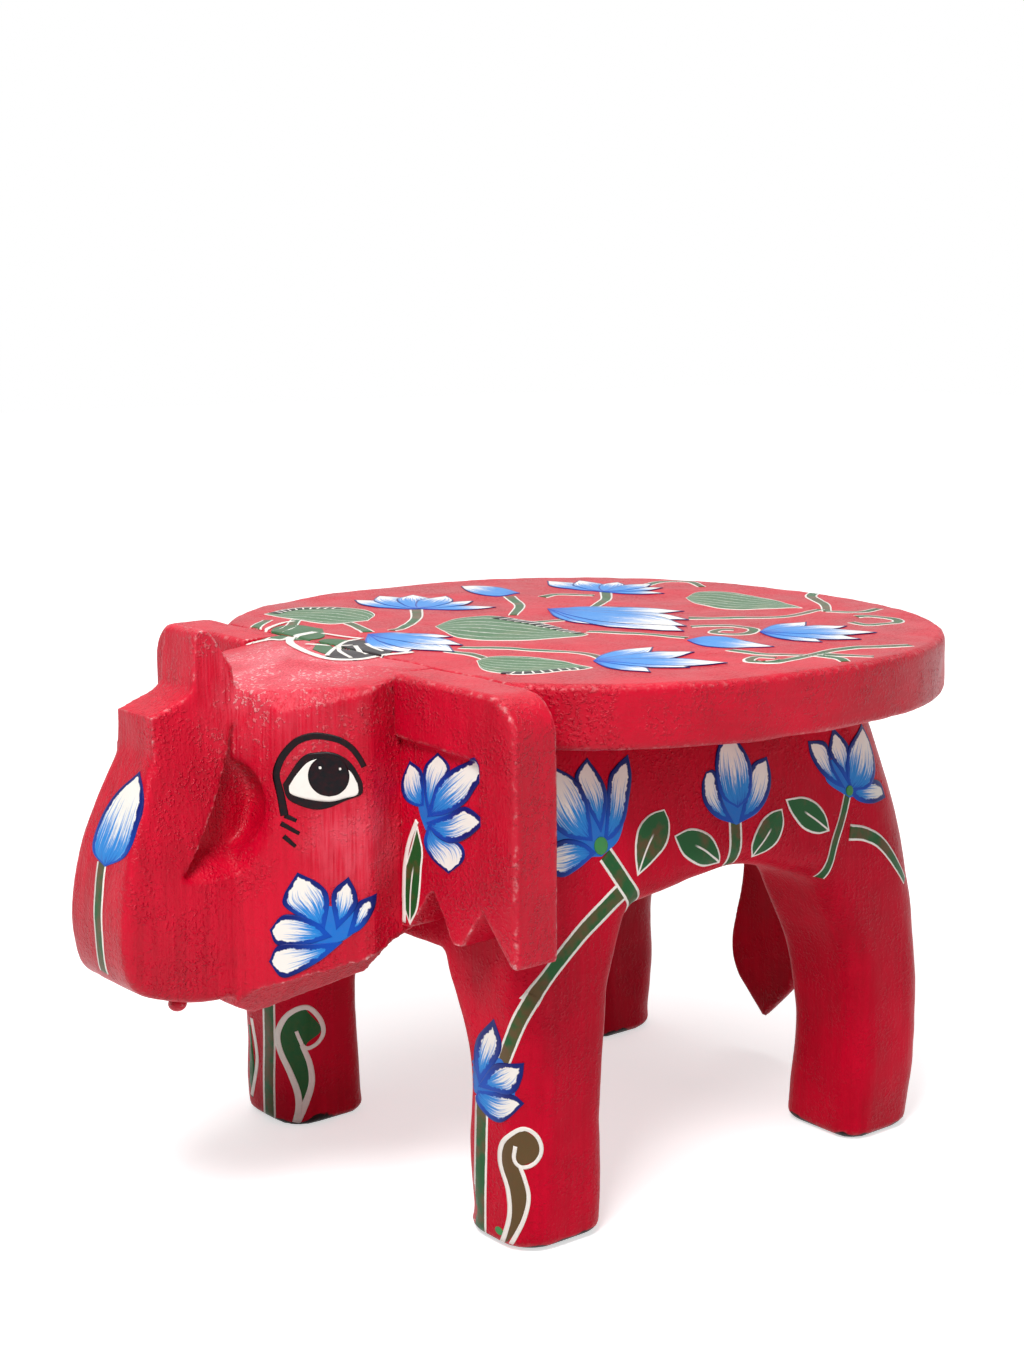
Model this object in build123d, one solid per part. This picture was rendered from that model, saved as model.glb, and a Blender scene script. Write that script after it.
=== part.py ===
"""Carved elephant stool: a round seat board on an elephant's body of glued-up planks.

Millimetres. +Z is up and the floor is z = 0. The elephant looks along -Y and its left side is +X.
The stool is modelled about the middle of its seat. At the end it is moved along Y, so that the
origin lies on the floor under the middle of its overall length.
"""
from build123d import *
import os
from math import copysign, cos, pi, sin

os.makedirs("parts", exist_ok=True)

# --- Seat board: a slightly squared disc, cut straight where it butts against the ears and the head
seat_width = 306.0
seat_depth = 296.0
seat_squareness = 2.26  # exponent of the superellipse, 2 is a plain ellipse
seat_thickness = 25.0
seat_top = 222.0
seat_edge_round = 2.5
rim_points = 40

# --- Body: a core block between two flank planks; the head and the ears stand on its front joint
core_width = 116.0
head_joint = 120.0  # from the middle of the seat forward
chest_bottom = 111.0
belly_height = 133.0
belly_lift = 7.0  # the core's belly lies this much above the arches of the flanks
rump_bottom = 113.0

# --- Legs, the lower ends of the flank planks
leg_width = 44.0
leg_round = 16.0
front_leg_x = 80.7
front_leg_y = 95.1
rear_leg_x = 83.6
rear_leg_y = 84.9
knee_height = 50.0
knee_bow = 3.0  # the legs bow outwards at the knee
knee_slim = 2.3  # and are that much slimmer on the inner and the arch sides
sole_bevel = 3.0

# --- Flanks: widest at the hip, leaning in and rounder towards the seat
hip_height = 90.0
hip_half_width = 107.0
hip_rear = 109.8
hip_corner = 18.0
flank_lean = 12.0
rump_lean = 11.8
corner_growth = 32.0
shoulder_corner = 12.0
saw_margin = 1.0  # the planks are carved proud of their joints and sawn flat

# --- Arch between the legs
front_arch_reach = 10.0  # from the front leg back to the arch's front corner
front_arch_drop = 6.0  # from the belly down to that corner
rear_arch_reach = 18.0
rear_arch_drop = 13.0
arch_thigh = 52.0  # from the belly down to where the rear leg turns upright
arch_front_round = 8.0
arch_rear_round = 20.0
arch_bend = 60.0  # radius of all the gentle bends of the arch
arch_lip = 11.0

# --- Ears: flat boards with a raised border and a scalloped lower edge
ear_half_span = 128.0
ear_thickness = 20.0
ear_bottom = 123.5
ear_notch = 142.0
ear_corner = 16.0
ear_border_top = 24.0
ear_border_side = 21.5
ear_panel_depth = 3.5
ear_edge_round = 1.5

# --- Head: a wedge from the ears to the trunk with 45 degree facets on both sides
head_half_width = 53.5
cheek_bulge = 2.0
cheek_front = 152.0
cheek_round = 6.0
plank_thickness = 42.0
nose_front = 190.5
jaw_front_height = 98.0
jaw_rise = 0.39  # the jaw rises towards the neck by this much per millimetre
forehead_drop = 6.5
brow_drop = 11.0  # from the seat's top down to the inner end of the brow
temple_drop = 2.5
throat_bottom = 70.0

# --- Hollows scooped out between the trunk and the eyes, over the ledges of the tusk roots
tusk_reach = 204.0
tusk_height = 161.5
tusk_slope = 10.0  # height of the slope over the ledge
mouth_height = 146.0
hollow_inner = 9.0
hollow_front = 184.7
hollow_ledge = 8.5  # how far the hollow's back wall comes forward down to the ledge
scoop_radius = 20.0
scoop_reach = 12.0  # from the hollow's back wall out to the middle of the scoop
scoop_height = 172.0

# --- Trunk: side profile of the centre plank, tapering in thickness towards the curled-up tip
trunk_bottom = 97.5
trunk_reach = 238.5
trunk_bulge_height = 122.0
trunk_bulge_width = 43.8
trunk_lip_reach = 221.0
trunk_lip_height = 194.5
trunk_ledge_height = 209.0
trunk_tip_reach = 197.0
trunk_tip_height = 240.0
trunk_tip_width = 24.4
trunk_edge_round = 3.5
chin_width = 26.0
chin_bottom = 87.3
chin_length = 48.0
chin_spread = 23.0  # the chin's sides flare by this much up to the jaws

# --- Tail: a spade-shaped board glued to the rump, hanging free between the rear legs
tail_top = 180.0
tail_tip = 18.0
tail_widest = 42.0
tail_width = 40.0
tail_neck_width = 27.0
tail_thickness = 10.0
tuft_thickness = 6.0
tail_swing = 5.5  # how far the tip hangs behind the hip
tail_edge_round = 1.8

# --- Dowels, screws and plugs
dowel_diameter = 8.0
tail_dowel_diameter = 6.0
dowel_chamfer = 0.8
dowel_clearance = 0.1
dowel_end_gap = 0.5
flank_dowel_length = 40.0
ear_dowel_length = 36.0
head_dowel_length = 44.0
cheek_dowel_length = 66.0
tail_dowel_length = 24.0
screw_shank = 4.5
screw_head = 9.0
screw_length = 60.0
screw_sunk = 7.0
screw_slot = 1.2
screw_clearance = 0.1
plug_clearance = 0.1

# --- Worked out from the sizes above
core_half = core_width / 2
plank_half = plank_thickness / 2
leg_half = leg_width / 2
body_top = seat_top - seat_thickness
ear_front = head_joint + ear_thickness
arch_front = -front_leg_y + leg_half
arch_rear = rear_leg_y - leg_half
to_origin = Pos(0, (trunk_reach - seat_depth / 2) / 2, 0)

# --- Middles of the dowels and of the screws
flank_dowel_places = [(core_half, y, z) for y, z in ((-84.0, 160.0), (8.0, 166.0), (84.0, 152.0))]
ear_dowel_places = [(80.0, 6 - head_joint, z) for z in (152.0, 184.0)]
head_dowel_places = [(0.0, -head_joint, z) for z in (138.0, 176.0)]
cheek_dowel_places = [(0.0, -head_joint - 30, z) for z in (140.0, 188.0)]
tail_dowel_heights = [136.0, 160.0]
seat_screw_places = [(77.0, -68.0), (77.0, 68.0)]


# --- Shared helpers
def beyond(point, normal, reach=300.0):
    """All of the space on the normal's side of a plane, as a big block."""
    block = Box(2 * reach, 2 * reach, reach, align=(Align.CENTER, Align.CENTER, Align.MIN))
    return Plane(origin=point, z_dir=normal) * block


def slab(outline, half):
    """A side profile, drawn as (y, z), made thick to both sides."""
    return extrude(Plane.YZ * make_face(outline), half, both=True)


def rod(middle, direction, length, radius):
    return Plane(origin=middle, z_dir=direction) * Cylinder(radius, length)


def dowel(middle, direction, length, diameter=dowel_diameter):
    peg = rod(middle, direction, length, diameter / 2)
    return chamfer(peg.edges().filter_by(GeomType.CIRCLE), dowel_chamfer)


def dowel_hole(middle, direction, length, diameter=dowel_diameter):
    return rod(middle, direction, length + 2 * dowel_end_gap, diameter / 2 + dowel_clearance)


def mirrored(solid):
    return mirror(solid, about=Plane.YZ)


def on_both_sides(solids):
    return Compound(solids + [mirrored(solid) for solid in solids])


def between(start, end, share_y, share_z):
    """A point of a side profile on the way from start to end."""
    return start[0] + (end[0] - start[0]) * share_y, start[1] + (end[1] - start[1]) * share_z


def rump_reach(z):
    """How far the rump stands behind the middle of the seat at a height."""
    share = (z - hip_height) / (body_top - hip_height)
    return hip_rear - rump_lean * share ** 2.6


# --- Seat board
def rim_outline():
    points = []
    for step in range(rim_points):
        turn = 2 * pi * step / rim_points
        x = copysign(abs(cos(turn)) ** (2 / seat_squareness), cos(turn)) * seat_width / 2
        y = copysign(abs(sin(turn)) ** (2 / seat_squareness), sin(turn)) * seat_depth / 2
        points.append((x, y))
    return Spline(*points, periodic=True)


def seat_board():
    board = extrude(Pos(0, 0, body_top) * make_face(rim_outline()), seat_thickness)
    board = fillet(board.edges(), seat_edge_round)
    board -= beyond((0, -head_joint, 0), (0, -1, 0))
    for place in seat_screw_places:
        board -= screw_hole(place)
        board -= mirrored(screw_hole(place))
    return board


# --- Seat screws: countersunk, sunk below the seat and plugged
def screw_blank(place, play=0.0):
    """A countersunk wood screw pointing down; play turns it into its hole."""
    x, y = place
    top = seat_top - screw_sunk
    head, shank = screw_head / 2 + play, screw_shank / 2 + play
    tip = top - screw_length - play
    outline = Polyline((0, top), (head, top), (shank, top - head + shank), (shank, tip + 2 * shank),
                       (0, tip), close=True)
    return Pos(x, y, 0) * revolve(Plane.XZ * make_face(outline), Axis.Z)


def seat_screw(place):
    long, deep = screw_head * 0.6, screw_head * 0.4
    cross = Box(long, screw_slot, deep) + Box(screw_slot, long, deep)
    return screw_blank(place) - Pos(place[0], place[1], seat_top - screw_sunk) * cross


def seat_plug(place, play=0.0):
    x, y = place
    return rod((x, y, seat_top - screw_sunk / 2), (0, 0, 1), screw_sunk, screw_head / 2 + play)


def screw_hole(place):
    return screw_blank(place, screw_clearance) + seat_plug(place, plug_clearance)


# --- Flank planks, each with a front and a rear leg
def leg_section(z, bow, slim):
    """Outline of the plank at a height of the legs; the arch is cut later."""
    front, rear = -front_leg_y - leg_half, rear_leg_y + leg_half + bow
    outline = FilletPolyline(
        (front_leg_x - leg_half + slim, front, z), (front_leg_x + leg_half + bow, front, z),
        (rear_leg_x + leg_half + bow, rear, z), (rear_leg_x - leg_half + slim, rear, z),
        radius=leg_round, close=True)
    return make_face(outline)


def hip_section(share):
    """Outline of the plank between the hip (share 0) and the seat (share 1)."""
    z = hip_height + (body_top - hip_height) * share
    proud = saw_margin if share > 0 else -saw_margin
    inner, front = core_half - proud, -head_joint - proud
    outer = hip_half_width - flank_lean * share ** 2.9
    rear = rump_reach(z)
    corner = min(hip_corner + corner_growth * share, outer - inner - 2)
    inner_corner = 12.0 if share == 0 else 0.5
    outline = FilletPolyline((inner, front, z), (outer, front, z), (outer, rear, z), (inner, rear, z),
                             radius=[inner_corner, shoulder_corner, corner, inner_corner], close=True)
    return make_face(outline)


def arch_opening():
    """The opening between the legs: up the front leg, over, and down the rear leg."""
    sides = Polyline((arch_rear, -5), (arch_front, -5))
    curve = FilletPolyline(
        (arch_front, -5), (arch_front - knee_slim, knee_height), (arch_front, hip_height + 8),
        (arch_front + front_arch_reach, belly_height - front_arch_drop), (0, belly_height + 1),
        (arch_rear - rear_arch_reach, belly_height - rear_arch_drop), (arch_rear, belly_height - arch_thigh),
        (arch_rear + knee_slim, knee_height), (arch_rear, -5),
        radius=[arch_bend, arch_bend / 3, arch_front_round, arch_bend, arch_rear_round, arch_bend, arch_bend])
    return extrude(Plane.YZ * make_face([curve, sides]), 2 * ear_half_span)


def left_flank():
    sections = [leg_section(0, 0, 0), leg_section(knee_height / 2, 0.7 * knee_bow, 0.7 * knee_slim),
                leg_section(knee_height, knee_bow, knee_slim)]
    sections += [hip_section(share) for share in (0, 0.26, 0.53, 0.78, 1)]
    plank = loft(sections) - arch_opening()
    lips = plank.edges().filter_by(lambda e: arch_front - 6 < e.center().Y < arch_rear + 6
                                   and 2 < e.center().Z < body_top - 5)
    plank = fillet(lips.filter_by(lambda e: abs(e.center().X - front_leg_x) > leg_half / 2), arch_lip)
    plank -= beyond((core_half, 0, 0), (-1, 0, 0))
    plank -= beyond((0, -head_joint, 0), (0, -1, 0))
    for middle in flank_dowel_places:
        plank -= dowel_hole(middle, (1, 0, 0), flank_dowel_length)
    for middle in ear_dowel_places:
        plank -= dowel_hole(middle, (0, 1, 0), ear_dowel_length)
    for place in seat_screw_places:
        plank -= screw_hole(place)
    return chamfer(plank.edges().filter_by(lambda e: e.center().Z < 0.01), sole_bevel)


# --- Core block
def plain_core():
    """The core without its dowel holes: flat on top and in front, with a scooped belly and a round rump."""
    heights = [rump_bottom + (body_top - rump_bottom) * share for share in (0, 0.33, 0.67, 1)]
    rump = [(rump_reach(z), z) for z in heights]
    top = Polyline(rump[-1], (-head_joint, body_top), (-head_joint, chest_bottom))
    belly = Spline((-head_joint, chest_bottom), (-head_joint + 26, chest_bottom + 5),
                   (-52, belly_height + belly_lift - 6), (0, belly_height + belly_lift),
                   (50, belly_height + belly_lift - 13), (rump[0][0] - 22, rump_bottom + 3), rump[0])
    return slab([top, belly, Spline(*rump)], core_half)


def body_core():
    core = plain_core()
    for x, y, z in flank_dowel_places:
        for side in (x, -x):
            core -= dowel_hole((side, y, z), (1, 0, 0), flank_dowel_length)
    for middle in head_dowel_places:
        core -= dowel_hole(middle, (0, 1, 0), head_dowel_length)
    for middle in tail_dowel_places():
        core -= dowel_hole(middle, (0, 1, 0), tail_dowel_length, tail_dowel_diameter)
    return core


# --- Ears
def left_ear():
    inner, outer, border = head_half_width, ear_half_span, ear_half_span - ear_border_side
    middle = (inner + border) / 2 + 8.5
    outline = FilletPolyline(
        (inner, seat_top), (outer, seat_top), (outer, ear_bottom), (outer - 4, ear_bottom),
        (border, ear_notch), (middle + 3, ear_bottom), (middle - 3, ear_bottom), (middle - 15, ear_notch),
        (inner + 5.5, ear_bottom), (inner, ear_bottom),
        radius=[0.1, ear_corner, 1, 1.5, 2, 2.5, 2.5, 2, 2.5, 0.1], close=True)
    board = extrude(Plane.XZ.offset(head_joint) * make_face(outline), ear_thickness)
    face = board.faces().sort_by(Axis.Y)[0]
    board = fillet(face.edges().filter_by(lambda e: e.center().X > inner + 1), ear_edge_round)
    panel = Polyline((inner - 5, seat_top - ear_border_top), (border, seat_top - ear_border_top - 2),
                     (border, ear_bottom - 5), (inner - 5, ear_bottom - 5), close=True)
    board -= extrude(Plane.XZ.offset(ear_front - ear_panel_depth) * make_face(panel), ear_panel_depth + 1)
    for place in ear_dowel_places:
        board -= dowel_hole(place, (0, 1, 0), ear_dowel_length)
    return board


# --- Head: the cheeks and the trunk plank are glued up, carved as one block and taken apart here
def face_wedge():
    """The plain wedge: sides from the ears to the cheeks, then 45 degree facets to the trunk."""
    half = [(head_half_width, -head_joint), (head_half_width, -ear_front),
            (head_half_width + cheek_bulge, -cheek_front), (plank_half, -nose_front)]
    radii = [0.1, 0.1, cheek_round, 0.1]
    other_half = [(-x, y) for x, y in reversed(half)]
    plan = FilletPolyline(*half, *other_half, radius=radii + radii[::-1], close=True)
    return extrude(Pos(0, 0, throat_bottom) * make_face(plan), seat_top - throat_bottom)


def tusk_roots():
    """Joins the trunk to the nose, with a slope on each side down to the ledge over the mouth."""
    wide, slim, top = plank_half - 0.5, hollow_inner, mouth_height + tusk_slope
    section = Polyline((wide, mouth_height), (slim, top), (slim, tusk_height + 24), (-slim, tusk_height + 24),
                       (-slim, top), (-wide, mouth_height), close=True)
    back = hollow_front - 2
    return extrude(Plane.XZ.offset(back) * make_face(section), tusk_reach + 7.5 - back)


def brow_hollow():
    """The hollow between the trunk and the eye: an upright wall with a round scoop in it."""
    across = Vector(0.948, 0.317, 0)  # along the hollow's back wall, from the trunk to the eye
    outward = Vector(0.317, -0.948, 0)
    wall = Plane(origin=(hollow_inner, -hollow_front, 0), x_dir=outward, z_dir=-across)
    back = Spline((-0.6, seat_top), (0.6, seat_top - 14), (1.2, seat_top - 32), (1.5, mouth_height + 26),
                  (0.45 * hollow_ledge, mouth_height + 10), (hollow_ledge, mouth_height))
    rest = Polyline((hollow_ledge, mouth_height), (60, mouth_height), (60, seat_top), (-0.6, seat_top))
    scoop = wall * Pos(scoop_reach, scoop_height, -1) * Sphere(scoop_radius)
    hollow = extrude(wall * make_face([back, rest]), 60, dir=across)
    return hollow + (scoop & beyond((hollow_inner, 0, 0), (1, 0, 0)))


def forehead_cuts():
    """Facets of the forehead: a shallow slope on each side and a bevel over the inner end of each eye."""
    front = Vector(plank_half - 8, 7.5 - nose_front, seat_top - forehead_drop)
    side = Vector(head_half_width, -ear_front - 2, seat_top - temple_drop)
    ridge = Vector(plank_half - 8, -ear_front - 5, seat_top)
    bevel = Vector(plank_half + 9, 13.5 - nose_front, seat_top - brow_drop)
    return [beyond(front, (side - front).cross(ridge - front)), beyond(bevel, (0.503, -0.615, 0.607))]


def chin():
    """The keel under the head: deepest behind the trunk and flaring up to the jaws."""
    front, half, top = -nose_front + 11.5, chin_width / 2, chin_bottom + 28
    profile = Polyline((front - 14, trunk_bottom + 2.5), (front - 14, trunk_bottom - 3), (front, chin_bottom),
                       (front + chin_length, chin_bottom + 8.5), (front + chin_length + 8, top), (front, top),
                       close=True)
    section = Polyline((-half, chin_bottom - 1), (half, chin_bottom - 1), (half + chin_spread, top),
                       (-half - chin_spread, top), close=True)
    sides = extrude(Plane.XZ * make_face(section), ear_front + 2 * chin_length)
    return slab(profile, head_half_width) & sides & face_wedge()


def carved_head():
    block = face_wedge() - beyond((0, -nose_front, jaw_front_height), (0, jaw_rise, -1))
    for cut in forehead_cuts() + [brow_hollow()]:
        block -= cut
        block -= mirrored(cut)
    return block + tusk_roots() + chin()


def trunk():
    """The trunk: an S seen from the side, tapering in thickness to the tip curled up over the forehead."""
    forehead = (7 - nose_front, seat_top - forehead_drop)
    throat = (8.5 - nose_front, trunk_bottom + 3.5)
    lip = (-trunk_lip_reach + 0.5, trunk_lip_height)
    ledge = (-trunk_lip_reach + 0.5, trunk_ledge_height)
    tip = (-trunk_tip_reach, trunk_tip_height)
    top = Polyline(lip, ledge, (ledge[0] + 13.5, ledge[1] + 5), (tip[0] - 5.5, ledge[1] + 8),
                   (tip[0] - 3.5, tip[1] - 1.5), tip, (tip[0] + 3.5, tip[1] - 2),
                   (tip[0] + 12.5, tip[1] - 15), forehead)
    back = Spline(forehead, (forehead[0] - 5, trunk_lip_height),
                  (forehead[0] - 13, trunk_lip_height - 20),
                  (-tusk_reach, tusk_height), (-tusk_reach - 9, mouth_height + 1.5))
    heel = (-nose_front - 1.5, trunk_bottom + 0.2)
    root = Polyline((-tusk_reach - 9, mouth_height + 1.5), (-tusk_reach - 5, mouth_height),
                    (throat[0], mouth_height), throat, heel)
    flat_end, bulge = (-nose_front - 9.5, trunk_bottom), (-trunk_reach, trunk_bulge_height)
    waist = (-trunk_lip_reach - 8, trunk_lip_height - 20)
    belly = Spline(heel, flat_end, between(flat_end, bulge, 6 / 11, 9 / 49),
                   between(flat_end, bulge, 10 / 11, 24 / 49), bulge, between(bulge, waist, 5 / 19, 4 / 7),
                   waist, lip)
    wide, slim = trunk_bulge_width / 2, trunk_tip_width / 2
    foot, brim = (wide - 2.4, trunk_bottom - 8), (slim + 3.2, trunk_lip_height - 6)
    half = [foot, (wide - 0.4, trunk_bottom - 8 + (trunk_bulge_height - trunk_bottom + 8) * 37 / 65),
            (wide, trunk_bulge_height),
            (wide - 1.6, trunk_bulge_height + (brim[1] - trunk_bulge_height) * 11 / 19), brim,
            (slim + 1, trunk_ledge_height), (slim, trunk_tip_height + 3)]
    sides = [Spline(*half), Spline(*[(-x, z) for x, z in half])]
    ends = [Line((-x, z), (x, z)) for x, z in (half[0], half[-1])]
    taper = extrude(Plane.XZ * make_face(sides + ends), trunk_reach + 20)
    curl = slab([top, back, root, belly], plank_thickness) & taper
    front_edges = curl.edges().filter_by(lambda e: e.length > 100 and abs(e.center().X) > 1)
    return fillet(front_edges, trunk_edge_round)


def trunk_plank():
    plank = (carved_head() & Box(plank_thickness, 600, 600)) + trunk()
    for middle in head_dowel_places:
        plank -= dowel_hole(middle, (0, 1, 0), head_dowel_length)
    for middle in cheek_dowel_places:
        plank -= dowel_hole(middle, (1, 0, 0), cheek_dowel_length)
    return plank


def left_cheek():
    cheek = (carved_head() & beyond((plank_half, 0, 0), (1, 0, 0))) - trunk()
    for middle in cheek_dowel_places:
        cheek -= dowel_hole(middle, (1, 0, 0), cheek_dowel_length)
    return cheek


# --- Tail
def tail_dowel_places():
    return [(0, rump_reach(z) - tail_dowel_length / 2 + 7, z) for z in tail_dowel_heights]


def tail():
    neck, wide = tail_neck_width / 2, tail_width / 2
    half = [(neck - 2.5, tail_top), (neck - 1, chest_bottom), (neck, 2 * tail_widest),
            (wide, tail_widest), (wide - 4, tail_widest - 8)]
    sides = [Spline(*half), Spline(*[(-x, z) for x, z in half])]
    tip = Polyline(half[-1], (0, tail_tip), (-half[-1][0], half[-1][1]))
    top = Line((-half[0][0], tail_top), half[0])
    spade = extrude(Plane.XZ * make_face(sides + [tip, top]), -2 * hip_rear)
    hang, low = hip_rear + tail_swing, tail_tip - 2
    block = Polyline((hang + tuft_thickness - 1, low), (hang, low))
    front = FilletPolyline((hang, low), (hip_rear + 3.5, rump_bottom - 12), (hip_rear - 3, rump_bottom),
                           radius=6)
    root = Polyline((hip_rear - 3, rump_bottom), (hip_rear - 30, rump_bottom),
                    (hip_rear - 30, tail_top + 5),
                    (rump_reach(tail_top) + tail_thickness - 3, tail_top + 5))
    rear = Spline((hang + tuft_thickness - 1, low), (hang + tuft_thickness, tail_widest),
                  (hip_rear + tail_thickness, rump_bottom - 15), (rump_reach(150) + tail_thickness, 150),
                  (rump_reach(tail_top) + tail_thickness - 3, tail_top + 5))
    board = (spade & slab([block, front, root, rear], tail_width)) - plain_core()
    board = fillet(board.edges().filter_by(
        lambda e: e.length > 15 and abs(e.center().X) > 3
        and e.center().Y > rump_reach(max(e.center().Z, hip_height)) + tail_thickness / 3), tail_edge_round)
    for middle in tail_dowel_places():
        board -= dowel_hole(middle, (0, 1, 0), tail_dowel_length, tail_dowel_diameter)
    return board


across, along = (1, 0, 0), (0, 1, 0)
nodes = {
    "seat_board": seat_board(),
    "left_flank": left_flank(),
    "body_core": body_core(),
    "left_ear": left_ear(),
    "trunk_plank": trunk_plank(),
    "left_cheek": left_cheek(),
    "tail": tail(),
    "seat_screws": on_both_sides([seat_screw(place) for place in seat_screw_places]),
    "seat_plugs": on_both_sides([seat_plug(place) for place in seat_screw_places]),
    "flank_dowels": on_both_sides([dowel(middle, across, flank_dowel_length)
                                   for middle in flank_dowel_places]),
    "ear_dowels": on_both_sides([dowel(middle, along, ear_dowel_length) for middle in ear_dowel_places]),
    "head_dowels": Compound([dowel(middle, along, head_dowel_length) for middle in head_dowel_places]),
    "cheek_dowels": Compound([dowel(middle, across, cheek_dowel_length) for middle in cheek_dowel_places]),
    "tail_dowels": Compound([dowel(middle, along, tail_dowel_length, tail_dowel_diameter)
                             for middle in tail_dowel_places()]),
}
for name in ("flank", "ear", "cheek"):
    nodes["right_" + name] = mirrored(nodes["left_" + name])

for name, solid in nodes.items():
    export_step(to_origin * solid, f"parts/{name}.step")
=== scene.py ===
"""Looks of the carved elephant stool: red enamelled wood with hand-painted lotus flowers."""
import math

import bmesh
import bpy
from mathutils import Matrix, Vector, noise
from mathutils.bvhtree import BVHTree


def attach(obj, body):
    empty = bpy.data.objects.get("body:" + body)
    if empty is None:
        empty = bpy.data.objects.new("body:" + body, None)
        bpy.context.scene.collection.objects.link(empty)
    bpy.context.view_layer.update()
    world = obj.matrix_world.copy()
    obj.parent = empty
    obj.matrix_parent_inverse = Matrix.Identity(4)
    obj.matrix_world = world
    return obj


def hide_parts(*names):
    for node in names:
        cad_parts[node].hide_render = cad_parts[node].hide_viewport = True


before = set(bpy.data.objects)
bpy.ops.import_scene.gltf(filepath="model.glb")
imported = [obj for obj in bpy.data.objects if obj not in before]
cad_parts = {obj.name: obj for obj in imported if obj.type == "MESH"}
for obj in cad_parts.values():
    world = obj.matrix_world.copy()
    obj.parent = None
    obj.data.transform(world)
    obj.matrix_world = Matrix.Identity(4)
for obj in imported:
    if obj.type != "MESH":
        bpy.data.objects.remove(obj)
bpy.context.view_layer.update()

MM = 0.001
SEAT_SHIFT = 45.25  # the middle of the seat lies this many millimetres behind the origin


def at(x, y, z):
    """A point given in millimetres about the middle of the seat, in metres about the origin."""
    return Vector((x, y + SEAT_SHIFT, z)) * MM


def only(*objects):
    """Nothing but these objects is selected, and the first is active."""
    if bpy.context.object and bpy.context.object.mode != "OBJECT":
        bpy.ops.object.mode_set(mode="OBJECT")
    bpy.ops.object.select_all(action="DESELECT")
    for obj in objects:
        obj.select_set(True)
    bpy.context.view_layer.objects.active = objects[0]
    return objects[0]


def modify(obj, kind, **settings):
    """Adds a modifier and applies it at once."""
    only(obj)
    modifier = obj.modifiers.new(kind.title(), kind)
    for name, value in settings.items():
        setattr(modifier, name, value)
    bpy.ops.object.modifier_apply(modifier=modifier.name)


# --- Carved timber ------------------------------------------------------------------------------------------
# Every plank is sawn, glued up and then carved with a gouge and sanded by hand, so that its corners are soft
# and its flats are a little uneven. The glued group is carved as one block and parted again at its joints.
GRAIN_OF_MESH = 1.5 * MM
FINE_GRAIN_OF_MESH = 1.2 * MM
THIN_GRAIN_OF_MESH = 1.0 * MM
SANDING_ROUNDS = 3
UNEVENNESS = 0.45 * MM
LONG_WAVE = 24
SHORT_WAVE = 9
FLAT_SOLE = 1.0
SOLE_BLEND = 6


def copy_of(*names):
    """One mesh made of copies of CAD nodes, with their loose triangles merged."""
    copies = []
    for name in names:
        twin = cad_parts[name].copy()
        twin.data = twin.data.copy()
        twin.parent = None
        for key in list(twin.keys()):
            del twin[key]
        bpy.context.scene.collection.objects.link(twin)
        copies.append(twin)
    block = only(*copies)
    if len(copies) > 1:
        bpy.ops.object.join()
    block.data.materials.clear()
    bpy.ops.object.mode_set(mode="EDIT")
    bpy.ops.mesh.select_all(action="SELECT")
    bpy.ops.mesh.remove_doubles(threshold=0.02 * MM)
    bpy.ops.object.mode_set(mode="OBJECT")
    return block


def carve(block, voxel=GRAIN_OF_MESH):
    """Softens the corners and makes the flats slightly uneven."""
    modify(block, "REMESH", mode="VOXEL", voxel_size=voxel, use_smooth_shade=True)
    modify(block, "SMOOTH", factor=0.5, iterations=SANDING_ROUNDS)
    outward = [vertex.normal.copy() for vertex in block.data.vertices]
    for vertex, normal in zip(block.data.vertices, outward):
        spot = vertex.co / MM
        wave = noise.noise(spot / LONG_WAVE) + 0.45 * noise.noise(spot / SHORT_WAVE + Vector((5, 5, 5)))
        keep = min(1.0, max(0.0, (spot.z - FLAT_SOLE) / SOLE_BLEND))
        vertex.co += normal * UNEVENNESS * wave * keep
    return block


def part_at(block, places):
    """Parts a carved block at upright planes x = place and returns the pieces from -X to +X."""
    pieces = []
    for low, high in zip([None] + places, places + [None]):
        piece = block.copy()
        piece.data = block.data.copy()
        bpy.context.scene.collection.objects.link(piece)
        only(piece)
        bpy.ops.object.mode_set(mode="EDIT")
        for place, side in ((low, 1), (high, -1)):
            if place is not None:
                bpy.ops.mesh.select_all(action="SELECT")
                bpy.ops.mesh.bisect(plane_co=(place * MM, 0, 0), plane_no=(-side, 0, 0), use_fill=True,
                                    clear_outer=True)
        bpy.ops.object.mode_set(mode="OBJECT")
        pieces.append(piece)
    bpy.data.objects.remove(block)
    return pieces


# --- Crimson enamel -----------------------------------------------------------------------------------------
# Two coats of brushed oil enamel over open grained timber: the grain still shows as fine ridges, the paint
# has dried pebbly where it was thick, and the corners turn pink and white: partly wear, partly painted
# sheen and glints on the edges.
class Wire:
    """A shader socket that takes part in Python arithmetic by adding Math nodes."""

    def __init__(self, paint, socket):
        self.paint, self.socket = paint, socket

    def math(self, operation, *others):
        values = dict(enumerate((self,) + others))
        return self.paint.node("Math", {"operation": operation}, values)

    def __add__(self, other):
        return self.math("ADD", other)

    def __sub__(self, other):
        return self.math("SUBTRACT", other)

    def __mul__(self, other):
        return self.math("MULTIPLY", other)

    def __truediv__(self, other):
        return self.math("DIVIDE", other)

    __radd__ = __add__
    __rmul__ = __mul__

    def ramp(self, low, high, to_low=0.0, to_high=1.0):
        """This value taken smoothly from the range low..high to the range to_low..to_high."""
        return self.paint.node("MapRange", {"interpolation_type": "SMOOTHSTEP"}, {
            "Value": self, "From Min": low, "From Max": high, "To Min": to_low, "To Max": to_high})


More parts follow.
